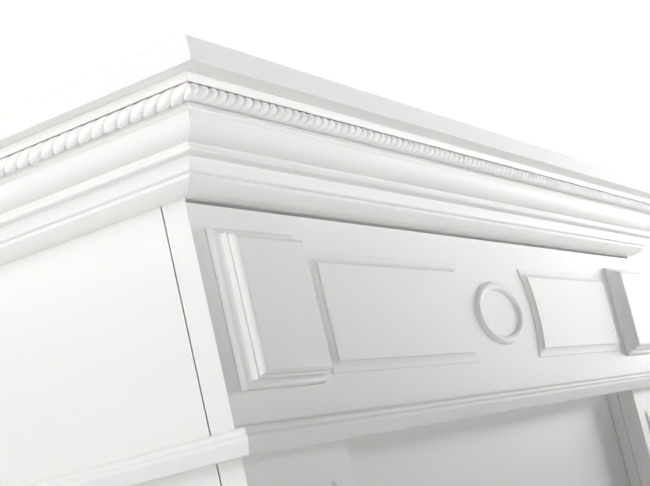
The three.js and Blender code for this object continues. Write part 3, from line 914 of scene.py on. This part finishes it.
class OBJECT_OT_surround_plinths(SurroundOperator, bpy.types.Operator):
    """Makes the plinths round the foot of each leg"""
    bl_idname = "object.surround_plinths"
    bl_label = "Plinths"

    def execute(self, context):
        section = plinth_section()
        reach = PLINTH_FACE * MM
        fronts = {
            "left": ((-HALF_CASE, 1), (-PILASTER_INNER, 0)),
            "right": ((PILASTER_INNER, 0), (HALF_CASE, 1)),
        }
        for side in ("left", "right"):
            front = moulding_run("plinth_moulded_front_" + side, section, "front",
                                 fronts[side], 0, reach)
            finish_piece(front, ["plinth_front_" + side], white_lacquer())
            back = moulding_run("plinth_moulded_side_" + side, section, side,
                                run_ends(side), 0, reach)
            finish_piece(back, ["plinth_side_" + side], white_lacquer())
        return {"FINISHED"}


class OBJECT_OT_surround_stage(SurroundOperator, bpy.types.Operator):
    """Sets the plain floor, the soft lights and the camera"""
    bl_idname = "object.surround_stage"
    bl_label = "Stage"

    def floor(self, grey):
        bpy.ops.mesh.primitive_plane_add(size=1, location=FLOOR_CENTRE)
        floor = bpy.context.object
        floor.name = "floor"
        floor.scale = (*FLOOR_SIZE, 1)
        bpy.ops.object.transform_apply(location=True, rotation=True, scale=True)
        material, tree, shader, place = material_nodes("plain_floor")
        cloud = noise_range(tree, place, *FLOOR_CLOUD)
        tree.links.new(tinted(tree, (grey, grey, grey), cloud), shader.inputs["Base Color"])
        shader.inputs["Roughness"].default_value = FLOOR_ROUGHNESS
        floor.data.materials.append(material)

    def light(self, name, place, size, power):
        lamp = bpy.data.lights.new(name, "AREA")
        lamp.shape = "RECTANGLE"
        lamp.size, lamp.size_y = size
        lamp.energy = power
        holder = bpy.data.objects.new(name, lamp)
        bpy.context.scene.collection.objects.link(holder)
        holder.location = place
        aim = Vector(LIGHT_TARGET) - Vector(place)
        holder.rotation_euler = aim.to_track_quat("-Z", "Y").to_euler()

    def ramp(self, tree, value, start, end, low, high):
        """A soft change from the low to the high value between two inputs."""
        step = tree.nodes.new("ShaderNodeMapRange")
        step.interpolation_type = "SMOOTHSTEP"
        step.inputs["From Min"].default_value = start
        step.inputs["From Max"].default_value = end
        step.inputs["To Min"].default_value = low
        step.inputs["To Max"].default_value = high
        tree.links.new(value, step.inputs["Value"])
        return step.outputs["Result"]

    def surroundings(self, strength):
        """White where the camera looks; for light and gloss, a bright low sweep and a ceiling."""
        world = bpy.data.worlds.new("surroundings")
        bpy.context.scene.world = world
        world.use_nodes = True
        tree = world.node_tree
        tree.nodes.clear()
        place = tree.nodes.new("ShaderNodeTexCoord")
        split = tree.nodes.new("ShaderNodeSeparateXYZ")
        tree.links.new(place.outputs["Generated"], split.inputs["Vector"])
        total = tree.nodes.new("ShaderNodeMath")
        for value, band in zip(total.inputs, (LOW_SWEEP, CEILING)):
            tree.links.new(self.ramp(tree, split.outputs["Z"], *band), value)
        scaled = tree.nodes.new("ShaderNodeMath")
        scaled.operation = "MULTIPLY"
        scaled.inputs[1].default_value = strength
        tree.links.new(total.outputs[0], scaled.inputs[0])
        light = tree.nodes.new("ShaderNodeBackground")
        seen = tree.nodes.new("ShaderNodeBackground")
        seen.inputs["Strength"].default_value = BACKDROP
        seen.inputs["Color"].default_value = (1, 1, 1, 1)
        path = tree.nodes.new("ShaderNodeLightPath")
        mix = tree.nodes.new("ShaderNodeMixShader")
        output = tree.nodes.new("ShaderNodeOutputWorld")
        tree.links.new(scaled.outputs[0], light.inputs["Strength"])
        tree.links.new(path.outputs["Is Camera Ray"], mix.inputs[0])
        tree.links.new(light.outputs[0], mix.inputs[1])
        tree.links.new(seen.outputs[0], mix.inputs[2])
        tree.links.new(mix.outputs[0], output.inputs["Surface"])

    def camera(self):
        heading = math.radians(CAMERA_HEADING)
        pitch = math.radians(CAMERA_PITCH)
        ahead = Vector((
            math.sin(heading) * math.cos(pitch),
            math.cos(heading) * math.cos(pitch),
            math.sin(pitch),
        ))
        lens = bpy.data.cameras.new("camera")
        lens.sensor_fit = "HORIZONTAL"
        lens.sensor_width = SENSOR_WIDTH
        lens.lens = CAMERA_LENS
        lens.clip_start, lens.clip_end = CAMERA_CLIP
        holder = bpy.data.objects.new("camera", lens)
        bpy.context.scene.collection.objects.link(holder)
        holder.location = CAMERA_PLACE
        roll = Quaternion((0, 0, 1), math.radians(CAMERA_ROLL))
        holder.rotation_mode = "QUATERNION"
        holder.rotation_quaternion = ahead.to_track_quat("-Z", "Y") @ roll
        bpy.context.scene.camera = holder

    def execute(self, context):
        studio = context.scene.surround_studio
        self.floor(studio.floor_grey)
        for name, place, size, power in LIGHTS:
            self.light(name, place, size, getattr(studio, power))
        self.surroundings(studio.sky)
        self.camera()
        context.scene.view_settings.view_transform = "Standard"
        return {"FINISHED"}


class VIEW3D_PT_surround(bpy.types.Panel):
    """Lists the steps that build the surround"""
    bl_label = "Fireplace surround"
    bl_idname = "VIEW3D_PT_surround"
    bl_space_type = "VIEW_3D"
    bl_region_type = "UI"
    bl_category = "Surround"

    def draw(self, context):
        for group in ("surround_lacquer", "surround_joinery", "surround_studio"):
            settings = getattr(context.scene, group)
            column = self.layout.column()
            for name in settings.__annotations__:
                column.prop(settings, name)
        for step in STEPS:
            self.layout.operator(step.bl_idname)


STEPS = (
    OBJECT_OT_surround_boards,
    OBJECT_OT_surround_cornice,
    OBJECT_OT_surround_rope,
    OBJECT_OT_surround_frieze,
    OBJECT_OT_surround_blocks,
    OBJECT_OT_surround_lower_moulding,
    OBJECT_OT_surround_plinths,
    OBJECT_OT_surround_stage,
)
CLASSES = (LacquerSettings, JoinerySettings, StudioSettings, *STEPS, VIEW3D_PT_surround)


def register():
    for cls in CLASSES:
        bpy.utils.register_class(cls)
    bpy.types.Scene.surround_lacquer = PointerProperty(type=LacquerSettings)
    bpy.types.Scene.surround_joinery = PointerProperty(type=JoinerySettings)
    bpy.types.Scene.surround_studio = PointerProperty(type=StudioSettings)


def unregister():
    del bpy.types.Scene.surround_studio
    del bpy.types.Scene.surround_joinery
    del bpy.types.Scene.surround_lacquer
    for cls in reversed(CLASSES):
        bpy.utils.unregister_class(cls)


def main():
    register()
    bpy.ops.object.surround_boards()
    bpy.ops.object.surround_cornice()
    bpy.ops.object.surround_rope()
    bpy.ops.object.surround_frieze()
    bpy.ops.object.surround_blocks()
    bpy.ops.object.surround_lower_moulding()
    bpy.ops.object.surround_plinths()
    bpy.ops.object.surround_stage()


if __name__ == "__main__":
    main()
